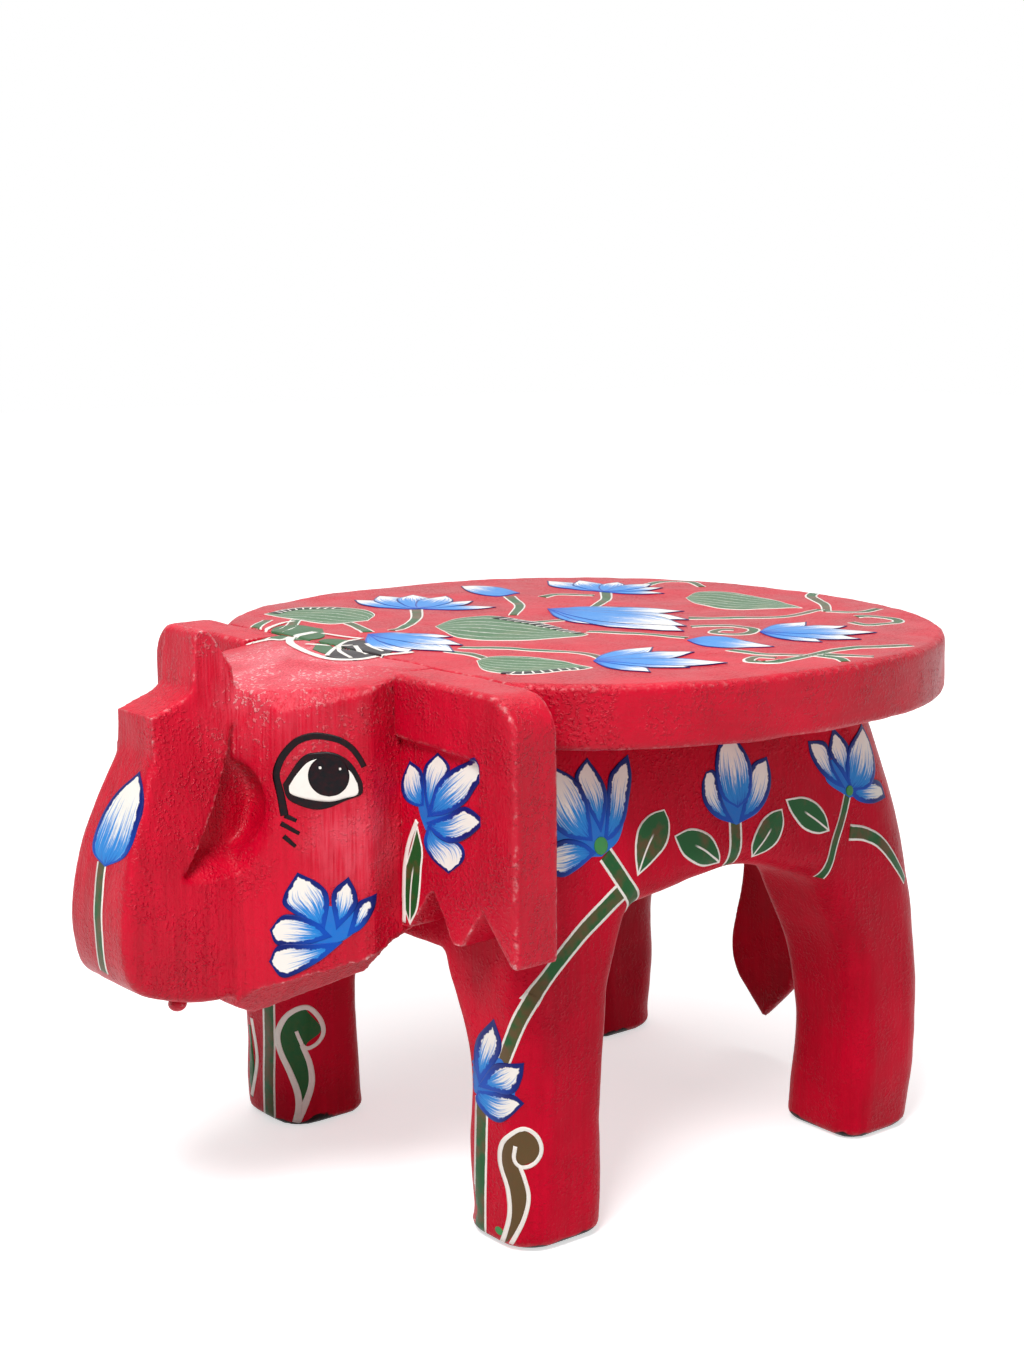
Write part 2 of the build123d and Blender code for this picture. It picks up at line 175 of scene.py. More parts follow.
class Mixer:
    """The node tree of a material or a world, written as Python expressions."""

    def __init__(self, owner):
        owner.use_nodes = True
        self.tree = owner.node_tree

    def node(self, kind, settings=None, inputs=None, output=0):
        made = self.tree.nodes.new("ShaderNode" + kind)
        for name, value in (settings or {}).items():
            setattr(made, name, value)
        for name, value in (inputs or {}).items():
            if isinstance(value, Wire):
                self.tree.links.new(value.socket, made.inputs[name])
            else:
                made.inputs[name].default_value = value
        return Wire(self, made.outputs[output])

    def mix(self, factor, first, second):
        """A colour that goes from first to second as factor goes from 0 to 1."""
        return self.node("Mix", {"data_type": "RGBA"}, {0: factor, 6: first, 7: second}, output=2)

    def place(self, stretch=(1, 1, 1)):
        """Object coordinates in millimetres, stretched."""
        where = self.node("TexCoord", output=3)
        return self.node("Mapping", None, {"Vector": where, "Scale": [1000 * share for share in stretch]})

    def noise(self, where, size, detail=2.0, roughness=0.5):
        """Noise of a grain size in millimetres."""
        return self.node("TexNoise", None, {"Vector": where, "Scale": 1 / size, "Detail": detail,
                                            "Roughness": roughness})

    def any_view(self):
        """1 for rays that end in the picture directly, in a reflection or through glass."""
        rays = [Wire(self, self.tree.nodes.new("ShaderNodeLightPath").outputs[name])
                for name in ("Is Camera Ray", "Is Glossy Ray", "Is Transmission Ray")]
        return rays[0].math("MAXIMUM", rays[1]).math("MAXIMUM", rays[2])

    def swap(self, lit, shown, output):
        """Rays that end in the picture meet the shader shown; all others meet the shader lit."""
        both = self.node("MixShader", None, {0: self.any_view(), 1: lit, 2: shown})
        self.tree.links.new(both.socket, self.tree.nodes[output].inputs["Surface"])


class Paint(Mixer):
    """A Principled material."""

    def __init__(self, name, **constants):
        self.material = bpy.data.materials.new(name)
        super().__init__(self.material)
        self.shader = self.tree.nodes["Principled BSDF"]
        for socket, value in constants.items():
            self.shader.inputs[socket.replace("_", " ")].default_value = value

    def finish(self, color, roughness, height, depth):
        """Joins colour, roughness and a relief of a depth in millimetres to the shader."""
        bump = self.node("Bump", None, {"Height": height, "Distance": depth * MM, "Strength": 1.0})
        for wire, socket in ((color, "Base Color"), (roughness, "Roughness"), (bump, "Normal")):
            self.tree.links.new(wire.socket, self.shader.inputs[socket])
        return self.material


def rgb(red, green, blue):
    """A colour as it looks, given 0 to 255, in the linear values that a shader takes."""
    def linear(c):
        c /= 255
        return c / 12.92 if c <= 0.04045 else ((c + 0.055) / 1.055) ** 2.4
    return (linear(red), linear(green), linear(blue), 1.0)


CRIMSON = rgb(206, 0, 42)
CRIMSON_DEEP = rgb(170, 0, 30)
# Pink of worn corners, also used as a painted sheen on the edges, the brow and the cheeks.
CRIMSON_WORN_AND_SHEEN = rgb(222, 84, 100)
# Chalky white of worn specks, also used for painted glints and a painted highlight on the brow.
CHALK_WEAR_AND_GLINT = rgb(240, 214, 210)
SOOT = rgb(30, 12, 14)


def enamel(name, grain_axis=2, pebble=1.0, grain=1.0, gloss=0.08, seam=None, sheen_spots=None):
    """Crimson enamel whose grain runs along X, Y or Z (0, 1 or 2).

    The paint bridges the glued joint at x = seam on both sides, so its corners get no wear or painted sheen
    there. sheen_spots holds spots of painted sheen: a place and a reach in millimetres, how strongly the
    colour is lightened to pink there and how much painted white highlight is added.
    """
    paint = Paint(name, Specular_IOR_Level=gloss)
    stretch = [1.0, 1.0, 1.0]
    stretch[grain_axis] = 0.045
    along = paint.place(stretch)
    plain = paint.place()
    fibres = paint.noise(along, 0.9, 3.0, 0.6)
    ridges = paint.noise(along, 2.6, 2.0, 0.5)
    clouds = paint.noise(plain, 42.0, 3.0, 0.6)
    drops = paint.noise(plain, 1.5, 2.0, 0.6)
    patches = paint.noise(plain, 16.0, 2.0, 0.5)
    pimples = drops.ramp(0.46, 0.72) * patches.ramp(0.38, 0.62, 0.25, 1.0)
    corner = paint.node("NewGeometry", output=7)
    edge = corner.ramp(0.52, 0.575)
    if seam:
        sideways = paint.node("SeparateXYZ", None, {0: plain}).math("ABSOLUTE")
        edge = edge * (sideways - seam).math("ABSOLUTE").ramp(0.4, 1.2)
    # Chalky specks on the corners: worn paint and painted glints.
    wear_and_glints = edge * paint.noise(plain, 3.2, 3.0, 0.65).ramp(0.5, 0.68)
    shade = clouds.ramp(0.3, 0.7) * 0.6 + ridges.ramp(0.3, 0.7) * (0.25 * grain) + 0.15
    body = paint.mix(shade, CRIMSON_DEEP, CRIMSON)
    # Corners are lightened towards pink: partly rubbed wear, partly painted sheen.
    body = paint.mix(edge * 0.35, body, CRIMSON_WORN_AND_SHEEN)
    # Spots of painted sheen: lightened towards pink, with white added as a painted highlight.
    for spot, reach, strength, highlight_share in sheen_spots or []:
        away = paint.node("VectorMath", {"operation": "DISTANCE"}, {0: plain, 1: spot}, output=1)
        sheen = away.ramp(0.25 * reach, reach, 1.0, 0.0) * (fibres + patches * 0.6).ramp(0.55, 0.95) * strength
        body = paint.mix(sheen, body, CRIMSON_WORN_AND_SHEEN)
        wear_and_glints = wear_and_glints + sheen * pimples.ramp(0.25, 0.6) * highlight_share
    # The chalky specks and the painted white highlight go in last.
    body = paint.mix((wear_and_glints * 0.85).math("MINIMUM", 1.0), body, CHALK_WEAR_AND_GLINT)
    height_above_floor = paint.node("SeparateXYZ", None, {0: plain}, output=2)
    ragged = height_above_floor + (patches - 0.5) * 12.0 + drops
    body = paint.mix(ragged.ramp(2.0, 2.8, 1.0, 0.0), body, SOOT)
    rough = 0.30 + clouds.ramp(0.3, 0.7) * 0.08 + fibres * 0.08
    height = fibres * (0.30 * grain) + ridges * (0.30 * grain) + pimples * (0.70 * pebble)
    return paint.finish(body, rough, height, 0.42)


def dress(obj, name, material, *nodes):
    """Names a finished piece, paints it and puts it in the place of its CAD nodes."""
    obj.name = name
    obj.data.name = name
    obj.data.materials.clear()
    obj.data.materials.append(material)
    only(obj)
    bpy.ops.object.shade_smooth_by_angle(angle=math.radians(40))
    if nodes:
        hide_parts(*nodes)
    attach(obj, "root")
    return obj


# --- Seat board ---------------------------------------------------------------------------------------------
# A round slab of one-inch timber whose grain runs from front to back. It is screwed down into both flanks,
# and the plugs over the sunk screw heads are flush with it and painted over.
seat_enamel = enamel("crimson_enamel_seat_grain", 1, pebble=1.5, grain=0.7, gloss=0.22)
seat = dress(carve(copy_of("seat_board", "seat_plugs")), "seat", seat_enamel, "seat_board", "seat_plugs")

# --- Body: the core block and the two flank planks with the legs ------------------------------------------
# Each flank is one carved plank with a front leg, an arch and a rear leg. Both are glued and dowelled to the
# core block, and the grain of all three runs upright so that the legs are strong.
BODY_SEAM = 57.0
upright_enamel = enamel("crimson_enamel_upright_grain", 2, seam=BODY_SEAM)
body = carve(copy_of("left_flank", "body_core", "right_flank"))
right_side, core, left_side = part_at(body, [-BODY_SEAM, BODY_SEAM])
dress(right_side, "right_side_and_legs", upright_enamel, "right_flank")
dress(core, "core_block", upright_enamel, "body_core")
dress(left_side, "left_side_and_legs", upright_enamel, "left_flank")

# --- Head: the trunk plank between the two cheeks -----------------------------------------------------------
# Three upright boards, dowelled together across the head and to the chest. The brow carries a painted pink
# and white highlight and the cheeks a painted pink sheen.
HEAD_SEAM = 23.0
# Spots of painted sheen; the brow one carries a painted white highlight.
BROW_HIGHLIGHT = ((0, -104, 222), 64, 1.0, 0.8)
LEFT_CHEEK_SHEEN = ((50, -111, 158), 26, 0.6, 0.05)
RIGHT_CHEEK_SHEEN = ((-50, -111, 158), 26, 0.6, 0.05)
head_enamel = enamel("crimson_enamel_head", 2, pebble=1.3, grain=1.6, gloss=0.22, seam=HEAD_SEAM,
                     sheen_spots=[BROW_HIGHLIGHT, LEFT_CHEEK_SHEEN, RIGHT_CHEEK_SHEEN])
head = carve(copy_of("left_cheek", "trunk_plank", "right_cheek"), FINE_GRAIN_OF_MESH)
right_face, trunk, left_face = part_at(head, [-HEAD_SEAM, HEAD_SEAM])
dress(right_face, "right_face", head_enamel, "right_cheek")
dress(trunk, "trunk", head_enamel, "trunk_plank")
dress(left_face, "left_face", head_enamel, "left_cheek")

# A drip of enamel has set under the chin of the trunk, a little flattened by its own weight.
DRIP_RADIUS = 0.0036
DRIP_PLACE = at(14, -213, 98.2)
DRIP_FLATTENING = 0.8
bpy.ops.mesh.primitive_uv_sphere_add(segments=24, ring_count=16, radius=DRIP_RADIUS, location=(0, 0, 0))
drip = bpy.context.object
for vertex in drip.data.vertices:
    vertex.co = DRIP_PLACE + Vector((vertex.co.x, vertex.co.y, vertex.co.z * DRIP_FLATTENING))
dress(drip, "enamel_drip", head_enamel)

# --- Ears ---------------------------------------------------------------------------------------------------
# Flat boards with a raised border, a sunk panel and a scalloped lower edge, each held by two dowels in the
# shoulder. The enamel lies thicker on them and has dried pebbly.
ear_enamel = enamel("crimson_enamel_ears", 2, pebble=1.6, gloss=0.22)
ears = []
for side in ("left", "right"):
    board = carve(copy_of(side + "_ear"), FINE_GRAIN_OF_MESH)
    ears.append(dress(board, side + "_ear_board", ear_enamel, side + "_ear"))

# --- Tail ---------------------------------------------------------------------------------------------------
# A thin spade-shaped board, dowelled to the rump.
dress(carve(copy_of("tail"), THIN_GRAIN_OF_MESH), "tail_board", upright_enamel, "tail")

# --- Brushes ------------------------------------------------------------------------------------------------
# The flowers are painted in oil enamel with a loaded round brush. Every stroke is a thin closed skin of paint
# that lies on the carved wood and on the strokes below it.
NAVY, COBALT = rgb(8, 26, 104), rgb(10, 74, 178)
SKY, MILK = rgb(40, 134, 212), rgb(240, 236, 228)
GREEN, OLIVE = rgb(24, 86, 40), rgb(92, 72, 42)
PALE_GREEN, SAGE = rgb(58, 104, 62), rgb(92, 116, 78)
AZURE, SEED_GREEN = rgb(26, 112, 200), rgb(60, 140, 76)
INK = rgb(6, 6, 12)
FIRST_SKIN = 0.16
SKIN_STEP = 0.07
SKIN_THICKNESS = 0.3 * MM
SWAY = 2.2
SWAY_LENGTH = 30


class StrokePaint(Paint):
    """A gloss paint that knows where it lies in its stroke.

    That is across it (-1 to 1), along it (0 to 1) and in millimetres from its edge and its middle.
    """

    def __init__(self, name):
        super().__init__(name, Specular_IOR_Level=0.15)
        place = self.node("UVMap", {"uv_map": "UVMap"})
        self.along = self.node("SeparateXYZ", None, {0: place}, output=1)
        self.across = self.node("SeparateXYZ", None, {0: place}) * 2.0 - 1.0
        self.edge = self.node("Attribute", {"attribute_name": "edge_mm"}, output=2)
        self.middle = self.node("Attribute", {"attribute_name": "middle_mm"}, output=2)
        self.plain = self.place()
        self.jitter = self.noise(self.plain, 2.2, 2.0, 0.6)
        hairs = self.node("CombineXYZ", None, {
            0: self.across * 5.0, 1: self.along * 0.8, 2: self.jitter * 0.2})
        self.hairs = self.node("TexNoise", None, {
            "Vector": hairs, "Scale": 2.2, "Detail": 3.0, "Roughness": 0.6})

    def dry(self, color):
        """Hair marks, thin places and gloss shared by all strokes."""
        thin = (self.hairs.ramp(0.62, 0.86) * 0.25 * self.edge.ramp(0.0, 0.5, 1.0, 0.4))
        color = self.mix(thin, color, CRIMSON)
        height = self.hairs * 0.6 + self.noise(self.plain, 1.4, 2.0, 0.5) * 0.5
        return self.finish(color, 0.30 + self.jitter * 0.14, height, 0.12)


def petal_paint(name, rim_width, white_from):
    paint = StrokePaint(name)
    pull = paint.along + (paint.hairs - 0.5) * 1.15
    color = paint.mix(pull.ramp(-0.05, 0.30), COBALT, SKY)
    color = paint.mix(pull.ramp(white_from, white_from + 0.28), color, MILK)
    rim = (paint.edge + (paint.jitter - 0.5) * rim_width).ramp(rim_width * 0.8, rim_width, 1.0, 0.0)
    return paint.dry(paint.mix(rim, color, paint.mix(paint.along.ramp(0.15, 0.7), COBALT, NAVY)))


def leaf_paint(name, dark, light, veins):
    paint = StrokePaint(name)
    color = paint.mix(paint.noise(paint.plain, 11.0, 3.0, 0.6).ramp(0.50, 0.72), dark, light)
    wave = paint.edge + (paint.jitter - 0.5) * 0.5
    white = wave.ramp(0.75, 1.0, 1.0, 0.0)
    if veins:
        comb = (paint.across * 3.2 + paint.along * 1.3 + paint.jitter * 0.25).math("FRACT")
        white = white.math("MAXIMUM", comb.ramp(0.08, 0.16, 1.0, 0.0) * 0.55)
    else:
        rib = paint.middle.ramp(0.3, 0.5, 1.0, 0.0) * paint.along.ramp(0.50, 0.60, 1.0, 0.0)
        white = white.math("MAXIMUM", rib)
    return paint.dry(paint.mix(white, color, MILK))


def stem_paint():
    paint = StrokePaint("stem_green_with_white_edges")
    color = paint.mix(paint.noise(paint.plain, 13.0, 3.0, 0.6).ramp(0.42, 0.62), GREEN, OLIVE)
    share = paint.edge / (paint.edge + paint.middle)
    return paint.dry(paint.mix((share + (paint.jitter - 0.5) * 0.12).ramp(0.24, 0.32, 1.0, 0.0), color, MILK))


def plain_paint(name, color):
    paint = StrokePaint(name)
    return paint.dry(paint.mix(paint.jitter.ramp(0.3, 0.8) * 0.04, color, CRIMSON_DEEP))


PAINTS = {
    "petal": petal_paint("petal_blue_and_white", 2.3, 0.34),
    "seat_petal": petal_paint("seat_petal", 0.9, 0.5),
    "stem": stem_paint(),
    "leaf": leaf_paint("leaf_green", GREEN, OLIVE, False),
    "seat_leaf": leaf_paint("leaf_sage_with_veins", PALE_GREEN, SAGE, True),
    "white": plain_paint("line_white", MILK),
    "black": plain_paint("line_black", INK),
    "green": plain_paint("ground_green", GREEN),
    "olive": plain_paint("ground_olive", OLIVE),
    "blue": plain_paint("ground_blue", AZURE),
    "knob": plain_paint("seed_green", SEED_GREEN)}


def curve(points, count):
    """Points evenly along a smooth line through the given ones."""
    knots = [Vector(point) for point in points]
    knots = [knots[0] * 2 - knots[1]] + knots + [knots[-1] * 2 - knots[-2]]
    dense = []
    for a, b, c, d in zip(knots, knots[1:], knots[2:], knots[3:]):
        for step in range(10):
            t = step / 10
            dense.append((b * 2 + (c - a) * t + (a * 2 - b * 5 + c * 4 - d) * t ** 2
                          + (b * 3 - a - c * 3 + d) * t ** 3) / 2)
    dense.append(knots[-2])
    run = [0.0]
    for a, b in zip(dense, dense[1:]):
        run.append(run[-1] + (b - a).length)
    even, k = [], 0
    for i in range(count):
        goal = run[-1] * i / (count - 1)
        while k < len(dense) - 2 and run[k + 1] < goal:
            k += 1
        even.append(dense[k].lerp(dense[k + 1], min(1.0, (goal - run[k]) / max(run[k + 1] - run[k], 1e-6))))
    return even


def project(sheet, target, normal):
    """Moves the vertices of a sheet against normal onto the target; tells for each whether it met wood."""
    corners = [vertex.co for vertex in target.data.vertices]
    tree = BVHTree.FromPolygons(corners, [face.vertices for face in target.data.polygons])
    met = []
    for vertex in sheet.data.vertices:
        spot = tree.ray_cast(vertex.co, -normal, 0.4)
        if spot[0] is not None:
            vertex.co = spot[0]
        met.append(spot[0] is not None and spot[1].dot(normal) > 0.12)
    return met


class Canvas:
    """A face of the stool: strokes are laid out flat on it in millimetres and then pressed onto the wood."""

    def __init__(self, name, woods, origin, across, up, side=1, stand_off=60.0, step=0.9):
        self.name, self.woods, self.side, self.strokes = name, woods, side, []
        self.stand_off = stand_off
        self.step = step * 1.0
        self.origin, self.across, self.up = Vector(origin), Vector(across), Vector(up)
        self.normal = self.across.cross(self.up)
        self.face = Vector((self.normal.x * side, self.normal.y, self.normal.z))

    def lay(self, kind, layer, left, right):
        """A stroke between two edges that run side by side."""
        length = sum((b - a).length for a, b in zip(left, left[1:]))
        width = max((a - b).length for a, b in zip(left, right))
        rows, columns = max(4, round(length / self.step)), max(4, 2 * round(width / self.step / 2))
        middle = len(left) // 2
        lean = (right[middle] - left[middle]).to_2d()
        ahead = (left[middle + 1] - left[middle - 1] + right[middle + 1] - right[middle - 1]).to_2d()
        if lean.x * ahead.y - lean.y * ahead.x < 0:
            left, right = right, left
        left, right = curve(left, rows + 1), curve(right, rows + 1)
        bpy.ops.object.select_all(action="DESELECT")
        bpy.ops.mesh.primitive_grid_add(x_subdivisions=columns, y_subdivisions=rows, size=1)
        stroke = bpy.context.object
        mesh = stroke.data
        edge = mesh.attributes.new("edge_mm", "FLOAT", "POINT")
        center = mesh.attributes.new("middle_mm", "FLOAT", "POINT")
        lift = mesh.attributes.new("lift", "FLOAT", "POINT")
        for i, vertex in enumerate(mesh.vertices):
            u, v = vertex.co.x * 2, vertex.co.y + 0.5
            row = min(rows, max(0, round(v * rows)))
            flat = left[row].lerp(right[row], (u + 1) / 2)
            half = (right[row] - left[row]).length / 2
            edge.data[i].value, center.data[i].value = (1 - abs(u)) * half, abs(u) * half
            lift.data[i].value = layer
            if self.side < 0:  # the other side is painted by the same hand, not copied
                here = flat.to_3d() / SWAY_LENGTH
                flat = flat + Vector((noise.noise(here), noise.noise(here + Vector((9, 9, 9))))) * SWAY
            spot = self.origin + self.across * flat.x + self.up * flat.y + self.normal * self.stand_off
            vertex.co = at(spot.x * self.side, spot.y, spot.z)
        if self.side < 0:
            mesh.flip_normals()
        mesh.materials.append(PAINTS[kind])
        self.strokes.append(stroke)

    def petal(self, layer, base, left, tip, right, kind="petal"):
        """A stroke that opens from a base and closes at a tip; its edges may be given from either end."""
        edges = []
        for edge in (left, right):
            nearer = (Vector(edge[0]) - Vector(base)).length <= (Vector(edge[-1]) - Vector(base)).length
            edges.append(curve([base] + (edge if nearer else edge[::-1]) + [tip], 24))
        self.lay(kind, layer, *edges)

    def dot(self, layer, x, y, radius, kind):
        ring = [(math.cos(turn), math.sin(turn)) for turn in (-1.1, -0.55, 0.0, 0.55, 1.1)]
        left = [(x - radius * c, y + radius * s) for c, s in ring]
        right = [(x + radius * c, y + radius * s) for c, s in ring]
        self.petal(layer, (x, y - radius), left, (x, y + radius), right, kind)

    def line(self, layer, points, widths, kind="white"):
        spine = curve(points, 40)
        left, right = [], []
        for i, spot in enumerate(spine):
            ahead = (spine[min(i + 1, 39)] - spine[max(i - 1, 0)]).normalized()
            half = (widths[0] + (widths[1] - widths[0]) * i / 39) / 2
            out = Vector((-ahead.y, ahead.x)) * half
            left.append(spot + out)
            right.append(spot - out)
        self.lay(kind, layer, left, right)

    def lotus(self, layer, base, tips, width=0.34):
        """A fan of petals from one base, the middle ones over the outer ones."""
        base = Vector(base)
        order = sorted(range(len(tips)), key=lambda i: -abs(i - (len(tips) - 1) / 2))
        for rank, i in enumerate(order):
            tip = Vector(tips[i])
            ahead = tip - base
            out = Vector((-ahead.y, ahead.x)) * width / 2
            low, high = base + ahead * 0.35, base + ahead * 0.68
            self.petal(layer + rank * 0.5, base, [low + out * 0.8, high + out], tip,
                       [low - out * 0.8, high - out], "seat_petal")

    def hatch(self, layer, points, width, count):
        """A dark band with short white ticks across it."""
        self.line(layer, points, (width, width * 0.6), "black")
        spine = curve(points, count + 2)
        for a, b in zip(spine[1:-1], spine[2:]):
            ahead = (b - a).normalized()
            out = Vector((-ahead.y, ahead.x)) * width * 0.42
            self.line(layer + 1, [a - out, a + ahead * 0.5, a + out + ahead], (0.9, 0.6), "white")

    def press(self):
        """Presses the finished strokes onto the wood and closes each skin."""
        copies = []
        for wood in self.woods:
            twin = wood.copy()
            twin.data = wood.data.copy()
            bpy.context.scene.collection.objects.link(twin)
            copies.append(twin)
        target = only(*copies)
        if len(copies) > 1:
            bpy.ops.object.join()
        painting = only(*self.strokes)
        if len(self.strokes) > 1:
            bpy.ops.object.join()
        painting.name = painting.data.name = self.name
        hits = project(painting, target, self.face)
        bpy.data.objects.remove(target)
        lift = painting.data.attributes["lift"].data
        for vertex, value in zip(painting.data.vertices, lift):
            vertex.co += self.face * (FIRST_SKIN + SKIN_STEP * value.value) * MM
        shell = bmesh.new()
        shell.from_mesh(painting.data)
        missed = [vertex for vertex in shell.verts if not hits[vertex.index]]
        bmesh.ops.delete(shell, geom=missed, context="VERTS")
        shell.to_mesh(painting.data)
        shell.free()
        modify(painting, "SOLIDIFY", thickness=SKIN_THICKNESS, offset=-1.0, use_even_offset=False)
        only(painting)
        bpy.ops.object.shade_smooth()
        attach(painting, "root")
        return painting


# --- Painting on the flanks ---------------------------------------------------------------------------------
# Three lotus flowers with stems and leaves hang under the seat; the lowest stem runs down into the front leg.
for name, side, wood in (("left", 1, left_side), ("right", -1, right_side)):
    flank = Canvas(name + "_side_painting", [wood], (100, 0, 0), (0, 1, 0), (0, 0, 1), side)
    flank.line(1.2, [(-77, 151.5), (-71.5, 143.5), (-67, 137), (-63, 131.5), (-61.5, 127)], (7.6, 7.6),
               "stem")
    flank.line(0,
               [(-68, 137), (-74, 134), (-80.5, 130), (-91, 123.5), (-101.5, 115.5), (-111, 107),
                (-115, 101)], (8, 7), "stem")
    for ground in (((-79, 151), [(-98, 155), (-99, 170)], (-80, 176), [(-66, 170), (-69, 157)]),
                   ((-7, 152), [(-19, 158), (-18, 166)], (-6, 168), [(10, 166), (7, 156)]),
                   ((60, 153), [(47, 162), (51, 170)], (63, 170), [(77, 165), (74, 154)])):
        flank.petal(0.8, *ground, "blue")
    flank.petal(1, (-77.5, 156.5), [(-72, 178), (-66.5, 183.5)], (-59.5, 187),
                [(-59.5, 179), (-62.5, 170.5), (-66, 162.5), (-72, 157.5)])
    flank.petal(2, (-78.5, 160), [(-85, 173.5), (-87.5, 182.5)], (-80, 188.5),
                [(-74.5, 179.5), (-73.5, 172), (-77.5, 162)])
    flank.petal(3, (-83, 157.5), [(-96, 161.5), (-103, 169.5), (-105, 181.5)], (-97, 187.5),
                [(-87.5, 181.5), (-83.5, 173.5), (-83, 166.5)])
    flank.petal(2, (-81.5, 153), [(-89, 158.5), (-99.5, 160.5)], (-113, 154.5), [(-101, 147), (-92.5, 148)])
    flank.dot(5, -79.1, 155.2, 3.4, "knob")
    flank.petal(1, (-61.5, 140.5), [(-62, 149.5), (-59.5, 158.5), (-53, 163)], (-45, 164),
                [(-43, 158), (-45.5, 150.5), (-53.5, 144.5)], "leaf")
    flank.petal(1, (-15.5, 137.5), [(-26, 138), (-36, 143.5), (-40, 150)], (-41, 153),
                [(-31.5, 154.5), (-22, 150.5), (-17.5, 143.5)], "leaf")
    flank.line(0, [(-7.5, 154), (-8, 146), (-8.5, 135)], (7, 7), "stem")
    flank.petal(1, (-8, 152.5), [(-17.5, 156.5), (-23.5, 163), (-23.5, 170.5)], (-20.5, 175),
                [(-15.5, 174.5), (-13.5, 163)])
    flank.petal(1, (-6, 152.5), [(-1, 162), (4.5, 174)], (14, 176.5),
                [(15, 169), (13, 162), (7, 156), (-2.5, 153)])
    flank.petal(2, (-5.5, 158.5), [(-13.5, 164), (-15.5, 172.5), (-13, 182.5)], (-5, 190.5),
                [(2, 180.5), (4.5, 172.5), (2, 162.5)])
    flank.petal(1, (3, 136.5), [(1, 143), (6, 150.5), (12.5, 154)], (19.5, 154.5),
                [(20, 148), (16.5, 142), (10.5, 138.5)], "leaf")
    flank.petal(1, (46.5, 141), [(39, 141), (31, 144.5), (24.5, 152)], (22, 158),
                [(32.5, 157.5), (40.5, 153.5), (45, 147.5)], "leaf")
    flank.line(0, [(59, 154.5), (55.5, 146.5), (49, 134.5), (44.5, 120.5)], (4.4, 4.4), "stem")
    flank.line(0, [(59, 138.5), (69, 136), (79.5, 129.5), (95.5, 111)], (7, 3.6), "stem")
    flank.petal(1, (58, 157), [(50.5, 160.5), (44, 166), (39.5, 173)], (39, 179.5),
                [(49.5, 177.5), (51.5, 168), (55.5, 161)])
    flank.petal(2, (61, 157), [(56, 164.5), (50.5, 173.5)], (55, 183), [(62.5, 174.5), (61, 165.5)])
    flank.petal(3, (61, 156), [(59.5, 164), (63, 174.5)], (76, 181.5), [(81, 172), (80, 161.5), (72, 155.5)])
    flank.petal(1, (60.5, 155.5), [(72.5, 158.5), (82.5, 156)], (85, 149), [(73.5, 148.5), (65, 151)])
    flank.dot(5, 60.2, 156, 2.2, "knob")
    flank.press()

# --- Painting on the front legs -----------------------------------------------------------------------------
# A cut lotus on a straight stem and a hooked tendril climb the outer corner of the left leg; the right leg
# has a stem and a broad hooked leaf on its inner corner.
leg = Canvas("left_leg_painting", [left_side], (0, 0, 0), (0.629, 0.777, 0), (0, 0, 1), stand_off=192.0)
leg.line(0, [(-42, 56), (-42.5, 35.5), (-43, 15), (-43, 1.5)], (5.2, 5), "stem")
leg.petal(0, (-33.5, 1.5), [(-31.5, 14), (-32, 24.5), (-35, 34.5), (-33.5, 43.5)], (-26.5, 50.5),
          [(-26, 13.5), (-24, 22.5), (-25.5, 30), (-27, 34.5), (-20, 38.5), (-19.5, 44.5)], "olive")
leg.line(1,
         [(-34.5, 1.5), (-31.5, 14), (-32, 24.5), (-35, 34.5), (-33.5, 43.5), (-26.5, 50), (-21, 47.5),
          (-19, 41.5), (-21.5, 36.5), (-26.5, 34.5), (-29.5, 37), (-29, 42.5)], (1.8, 1.5))
leg.line(1, [(-27.5, 35), (-25.5, 30), (-24, 22.5), (-26, 13.5), (-31, 2.5)], (1.5, 1.8))
leg.line(0, [(-21.5, 104), (-27, 94), (-31, 83), (-33.5, 75)], (7, 5), "stem")
leg.petal(0.6, (-46, 57), [(-46, 68), (-41, 76)], (-34, 76), [(-29, 68), (-32, 58)], "blue")
leg.petal(1, (-43, 61.5), [(-45, 70), (-43.5, 81)], (-37, 91.5), [(-34, 81), (-38.5, 69.5)])
leg.petal(1, (-43.5, 59), [(-44, 53.5), (-35.5, 50)], (-25.5, 60.5), [(-30, 63.5), (-37, 61.5)])
leg.petal(2, (-43.5, 60.5), [(-38.5, 70.5), (-34.5, 74.5)], (-25.5, 77), [(-26.5, 70), (-30.5, 63.5)])
leg.dot(0, -35.5, 6.4, 1.6, "knob")
leg.press()

leg = Canvas("right_leg_painting", [right_side], (0, 0, 0), (0.545, 0.839, 0), (0, 0, 1), stand_off=120.0)
leg.line(0, [(-139, 62), (-139, 38), (-139.5, 19.5), (-139.5, 1.5)], (5.6, 5.4), "stem")
leg.petal(0, (-125.5, 4.5), [(-130, 23.5), (-134.5, 38.5), (-130.5, 50.5)], (-123, 53.5),
          [(-116, 42.5), (-123, 36.5), (-121.5, 23), (-122, 15.5)], "green")
leg.line(1,
         [(-128, 1.5), (-126.5, 8), (-127, 15.5), (-130, 24.5), (-134.5, 35), (-135, 43), (-130.5, 51),
          (-122.5, 54), (-117, 48.5), (-115, 41.5), (-117.5, 37), (-123, 35.5), (-125.5, 39.5),
          (-127, 43.5)], (3.2, 1.6), "white")
leg.line(1, [(-127.5, 2), (-124.5, 8), (-121.5, 15.5), (-120.5, 21.5), (-121.5, 29), (-124.5, 37)],
         (3.4, 2.2), "white")
leg.line(0, [(-149.5, 40), (-148.5, 29), (-148, 21), (-149, 7.5)], (4, 4), "green")
leg.line(1, [(-147, 44), (-145, 31), (-145, 23), (-147.5, 8)], (1.3, 1.3), "white")
leg.press()

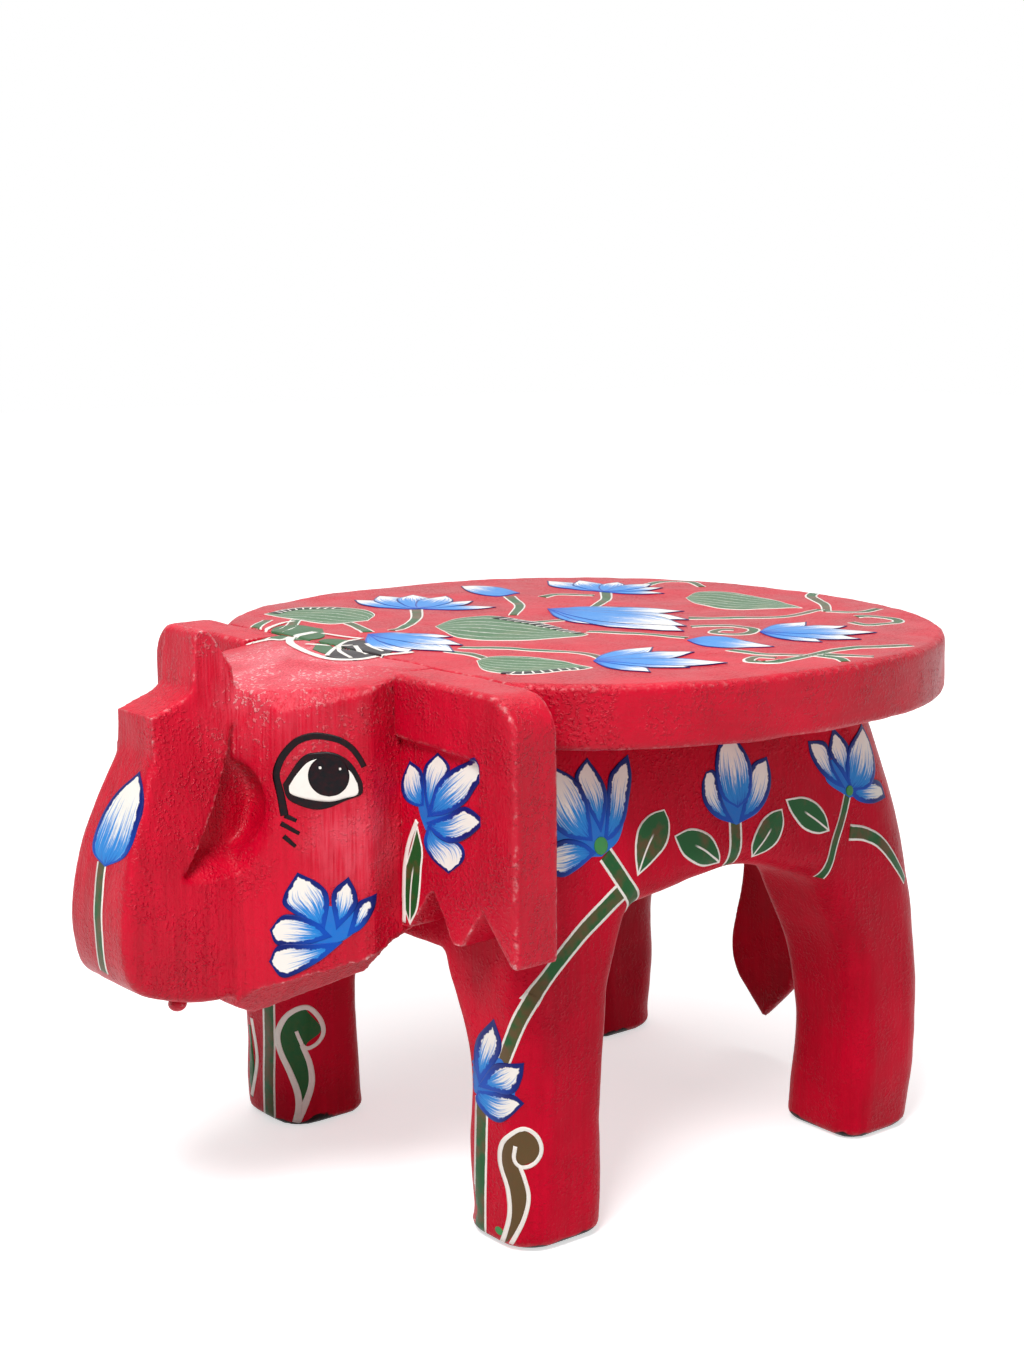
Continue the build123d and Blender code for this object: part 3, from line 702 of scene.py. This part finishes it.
# --- Painting on the ears -----------------------------------------------------------------------------------
# A lotus of five petals in the sunk panel of each ear, with one long leaf along the front border.
for side, board in zip((1, -1), ears):
    name = "left_ear_painting" if side > 0 else "right_ear_painting"
    ear = Canvas(name, [board], (0, -140, 0), (1, 0, 0), (0, 0, 1), side)
    ear.petal(0, (59, 124.5), [(54.5, 133), (55, 143.5), (59.5, 153.5)], (64.5, 165),
              [(68, 156), (67, 148), (64.5, 133.5)], "leaf")
    ear.petal(0.8, (70, 164), [(66, 170), (65, 178)], (74, 183), [(86, 176), (82, 164)], "blue")
    ear.petal(1, (69, 173), [(63, 172), (56.5, 174), (55, 180)], (60.5, 189), [(67.5, 186.5), (69, 181)])
    ear.petal(1, (71.5, 170), [(69, 179), (69.5, 188)], (78, 195), [(85.5, 190.5), (79.5, 181)])
    ear.petal(2, (71, 169), [(73.5, 175), (77.5, 183), (86.5, 190)], (104.5, 198),
              [(107, 193), (101.5, 186), (95, 179), (84.5, 173)])
    ear.petal(1, (71.5, 166), [(69, 159), (73.5, 154)], (84, 150),
              [(93.5, 157), (92.5, 162.5), (82.5, 163.5)])
    ear.petal(2.5, (70.5, 167), [(84, 172.5), (95, 177.5)], (106.5, 174), [(96, 166), (86, 162), (77, 163)])
    ear.line(3, [(64.5, 166.5), (59.5, 157.5), (56.5, 148), (55.5, 137), (55.5, 125)], (2.1, 2.1))
    ear.press()

# --- Painting on the cheeks ---------------------------------------------------------------------------------
# An eye with a brow and lashes under the carved brow, and a lotus that opens upwards beside the tusk root.
for side, wood in ((1, left_face), (-1, right_face)):
    name = "left_face_painting" if side > 0 else "right_face_painting"
    cheek = Canvas(name, [wood], (20.5, -190.5, 0), (0.673, 0.740, 0), (0, 0, 1), side)
    cheek.line(0,
               [(19.5, 169), (18, 177.5), (16.5, 184), (17.5, 188.5), (20, 193), (24.5, 197.5), (30, 199.5),
                (35, 199.5), (41, 198), (45.5, 195), (48.5, 191), (50, 188)], (3.2, 2.2), "black")
    cheek.petal(0, (19, 181), [(26.5, 191.5), (33.5, 193.5), (39.5, 193), (45, 189.5), (48.5, 184)],
                (49.5, 181.5), [(20.5, 176), (24, 173.5), (30.5, 171.5), (36, 172), (43, 175), (49, 177.5)],
                "black")
    cheek.petal(1, (21.5, 180.5), [(24.5, 185), (29.5, 190), (37, 191), (44.5, 186.5)], (47.5, 181.5),
                [(22, 177.5), (28, 175.5), (36.5, 174.5), (43, 176), (47.5, 177.5)], "white")
    cheek.dot(2, 36.6, 184.4, 7.9, "black")
    cheek.dot(3, 33.4, 187.6, 0.6, "white")
    cheek.dot(3, 41.0, 187.2, 0.5, "white")
    for low, high in (((19.5, 169), (24, 167)), ((18, 166), (25, 162)), ((19, 161), (23.5, 157))):
        cheek.line(0, [low, high], (1.9, 1.4), "black")
    cheek.petal(0.8, (24, 114), [(20, 124), (26, 132)], (36, 134), [(49, 130), (42, 121)], "blue")
    cheek.petal(1, (34, 124), [(20, 132.5), (18.5, 137.5)], (24, 147), [(32.5, 142.5), (36, 136.5)])
    cheek.petal(1, (42.5, 122), [(44.5, 128.5), (47, 135.5)], (54, 138.5), [(53, 132.5), (48.5, 125.5)])
    cheek.petal(2, (38.5, 124.5), [(37, 138.5)], (43.5, 145.5), [(46.5, 139), (46, 133)])
    cheek.petal(3, (37, 122), [(30, 128), (19, 130.5)], (13, 124.5), [(16, 118.5), (26, 118.5)])
    cheek.petal(4, (41, 120), [(28, 119), (16.5, 118.5)], (12.5, 112), [(17, 106), (22.5, 107), (32, 112.5)])
    cheek.press()

# --- Painting on the trunk ----------------------------------------------------------------------------------
# One closed bud on a stem that leans across the front of the trunk.
front = Canvas("trunk_painting", [trunk], (0, -240, 0), (1, 0, 0), (0, 0, 1))
front.line(0, [(0, 154), (1.5, 134.5), (2, 125), (1, 112)], (7, 6), "stem")
front.petal(1, (3, 153), [(-8, 156.5), (-9, 165), (-4, 177.5)], (8.5, 188.5),
            [(14.5, 182.5), (17.5, 172), (16.5, 160)])
front.press()

# --- Painting on the seat -----------------------------------------------------------------------------------
# Lotus flowers, veined leaves with a hatched edge and thin tendrils all over the seat; the black and white
# collar over the brow runs from the seat on to the head.
top = Canvas("seat_painting", [seat, left_face, trunk, right_face], (0, 0, 222), (1, 0, 0), (0, 1, 0),
             step=1.5)
for stem in ([(20.5, -82), (42.5, -67), (63.5, -54.5), (82, -57.5)],
             [(23, 43.5), (32, 53.5), (41.5, 64.5), (47.5, 82.5), (41, 109)],
             [(23.5, -16), (40.5, -4.5), (64, 3.5)], [(-65, 72), (-46.5, 55.5), (-30.5, 34.5)],
             [(-76.5, -33), (-55, -49), (-38, -68.5), (-33.5, -77.5)],
             [(-83, 26.5), (-56.5, 11.5), (-34.5, -10)], [(-35, -89), (-52.5, -82.5), (-67.5, -79)],
             [(26.5, -92.5), (39, -91), (52, -92.5)], [(1, 148), (11, 134.5), (31.5, 121.5), (48, 105.5)],
             [(48, 105.5), (60, 113.5), (58.5, 129)],
             [(69, 102), (72, 107.5), (82.5, 111.5), (90, 104.5), (88, 89.5), (78, 88.5)],
             [(41.5, 27.5), (51, 40.5), (63.5, 42.5), (70.5, 34.5), (69, 25), (60.5, 22.5), (57, 29.5),
              (61, 34)],
             [(136, 60.5), (126, 33.5), (127, 12), (130.5, -5.5), (130.5, -14.5), (122, -18), (117, -9),
              (123.5, -4.5)], [(97.5, -4.5), (114, -1.5), (127, 12)], [(127, 12), (138.5, 14), (146.5, 10)],
             [(129, 16.5), (140.5, 22.5), (146, 27)], [(-72.5, 38.5), (-73.5, 49.5), (-60.5, 60.5)],
             [(-70.5, 101.5), (-76, 118.5), (-68, 128.5), (-49.5, 121)],
             [(-11.5, -20), (-9.1, -1.8), (-21, 14.5)]):
    top.line(0, stem, (6.2, 4.6), "stem")
top.lotus(2, (81.5, -63), [(72.5, -23), (93.5, -20), (120, -27.5), (117.5, -45), (116.5, -64.5)])
top.lotus(2, (72.5, 38), [(65.5, 74), (84.5, 79), (106, 74), (113.5, 56), (108.5, 38)])
top.lotus(2, (-37, 12), [(-14, 47), (7.5, 55.5), (27, 40), (40.5, 26), (50.5, 15), (20.5, 3)])
top.lotus(2, (-66, 71),
          [(-114.5, 76), (-105, 89), (-87.5, 99.5), (-71.5, 108), (-57.5, 102.5), (-43.5, 90.5)])
top.lotus(2, (-77, -32), [(-122, -36), (-125.5, -19.5), (-117.5, -5), (-104, 5), (-83, 5), (-60, 0.5)])
top.lotus(2, (-30, -92.5), [(-21, -76), (-2, -68.5), (17.5, -78), (30, -92), (20, -107.5)])
top.petal(2, (68, 0), [(67, 11.5), (74.5, 17.5)], (103, 15.5), [(96, 1), (84.5, -5.5)], "seat_petal")
top.petal(2, (-88.5, 37.5), [(-110, 42.5), (-121.5, 39.5)], (-128, 32), [(-107, 21.5), (-87, 21.5)],
          "seat_petal")
top.petal(1, (52, -98), [(49, -86), (60.5, -76.5), (76.5, -73)], (93.5, -73.5),
          [(93.5, -84), (88.5, -104.5), (72, -109)], "seat_leaf")
top.petal(1, (-30, -57), [(-41.5, -36.5), (-37.5, -19), (-5.5, -16.5)], (30.5, -21.5),
          [(32, -29.5), (24, -52.5), (3, -68)], "seat_leaf")
top.petal(1, (-26, 88), [(-35, 104.5), (-29.5, 115), (-0.5, 115)], (33, 105.5),
          [(26, 88), (14, 76), (-7, 76.5)], "seat_leaf")
top.petal(1, (-62, -70), [(-67, -87), (-88.5, -92)], (-110.5, -93.5),
          [(-117, -76), (-113, -61), (-98, -52), (-79, -54.5)], "seat_leaf")
top.hatch(2, [(-33, -20.5), (-8.5, -20), (8.5, -20.5), (27, -23)], 6, 11)
top.hatch(2, [(80, -107.5), (87, -101), (90, -88), (91.5, -76.5)], 5, 8)
top.hatch(2, [(-109.5, -89), (-113, -78), (-110.5, -66.5), (-102.5, -57)], 5, 9)
for stroke in ([(-93.5, -102), (-80.5, -116), (-51, -137.5)],
               [(-86, -92), (-70, -106), (-57, -124), (-49.5, -136)]):
    top.line(1, stroke, (5, 6.5), "stem")
top.petal(1, (-46, -131), [(-72, -112.5), (-73, -100)], (-57.5, -97), [(-36, -111), (-35.5, -123)], "green")
top.petal(1, (-12.5, -132), [(-31.5, -114.5), (-24.5, -106.5)], (-14, -103), [(0.5, -121), (2.5, -133.5)],
          "green")
top.petal(2, (4.5, -137), [(-15.5, -116.5), (-19, -102)], (11, -108), [(19, -120), (19.5, -134.5)], "black")
for stroke, wide in (([(-50.5, -105.5), (-45, -119.5), (-34, -129), (-20, -134.5), (-1, -139), (12, -139),
                       (19.5, -131), (17.5, -117), (20.5, -105.5)], 3.6),
                     ([(-49.5, -139.5), (-64.5, -123.5), (-79, -106), (-82, -95.5)], 2.2),
                     ([(-50, -137), (-46, -131.5), (-40.5, -129), (-46, -121)], 2.6),
                     ([(-25, -127), (-16.5, -121), (-11.5, -113)], 1.8),
                     ([(4, -136), (-10.5, -122), (-20.5, -110), (-23.5, -99.5)], 1.8),
                     ([(-15, -117.5), (0, -127), (14.5, -131.5)], 2.0),
                     ([(-9.5, -113), (2, -119), (11.5, -122)], 2.0),
                     ([(-11, -106.5), (0, -111), (10.5, -113.5)], 1.8),
                     ([(-45, -105.5), (-34.5, -104.5), (-23, -100)], 1.6)):
    top.line(4, stroke, (wide, wide * 0.7), "white")
top.press()

# --- Floor, light and camera --------------------------------------------------------------------------------
# A white studio: a floor that keeps the stool's shadow and shades off to a white surround, a soft window lamp
# high up in front, and two fill lamps.
FLOOR_GAP = 0.0004
FLOOR_WHITE = (0.8, 0.8, 0.8, 1)
bpy.ops.mesh.primitive_plane_add(size=12, location=(0, 0, -FLOOR_GAP))
floor = bpy.context.object
floor.name = "floor"
ground = Paint("white_floor", Roughness=1.0, Specular_IOR_Level=0.0)
ground.shader.inputs["Base Color"].default_value = FLOOR_WHITE
out = ground.node("VectorMath", {"operation": "LENGTH"}, {0: ground.node("TexCoord", output=3)}, output=1)
white = ground.mix(out.ramp(0.5, 1.6), (0.6, 0.6, 0.6, 1), (1, 1, 1, 1))
bright = ground.node("BsdfPrincipled", None, {
    "Base Color": FLOOR_WHITE, "Roughness": 1.0, "Specular IOR Level": 0.0,
    "Emission Color": white, "Emission Strength": 1.0})
ground.swap(Wire(ground, ground.shader.outputs[0]), bright, "Material Output")
floor.data.materials.append(ground.material)

world = bpy.data.worlds.new("studio")
bpy.context.scene.world = world
sky = Mixer(world)
soft = sky.node("Background", None, {"Color": (1, 1, 1, 1), "Strength": 0.26})
plain_white = sky.node("Background", None, {"Color": (1, 1, 1, 1), "Strength": 1.0})
sky.swap(soft, plain_white, "World Output")


def softbox(name, place, target, width, height, power):
    """A rectangular lamp that faces a target."""
    bpy.ops.object.light_add(type="AREA", location=place)
    lamp = bpy.context.object
    lamp.name = name
    lamp.data.shape = "RECTANGLE"
    lamp.data.size, lamp.data.size_y, lamp.data.energy = width, height, power
    lamp.rotation_euler = (Vector(target) - Vector(place)).to_track_quat("-Z", "Y").to_euler()


softbox("window_light", (0.5, -0.7, 1.1), (0, -0.05, 0.12), 0.4, 0.35, 14)
softbox("top_light", (-0.2, 0.2, 1.5), (0, 0, 0.1), 0.8, 0.8, 9)
softbox("side_light", (1.3, 0.6, 0.5), (0, 0, 0.1), 0.8, 0.8, 1.8)

CAMERA_HEADING = 51.43
CAMERA_DIP = 6.89
CAMERA_ROLL = -0.32
bpy.ops.object.camera_add(location=(0.7063, -0.55905, 0.3611))
camera = bpy.context.object
camera.rotation_euler = (Matrix.Rotation(math.radians(CAMERA_HEADING), 4, "Z")
                         @ Matrix.Rotation(math.radians(90 - CAMERA_DIP), 4, "X")
                         @ Matrix.Rotation(math.radians(CAMERA_ROLL), 4, "Z")).to_euler()
camera.data.lens = 56.45
camera.data.shift_x = 0.0039
camera.data.shift_y = -0.0886
bpy.context.scene.camera = camera
bpy.context.scene.view_settings.view_transform = "Standard"
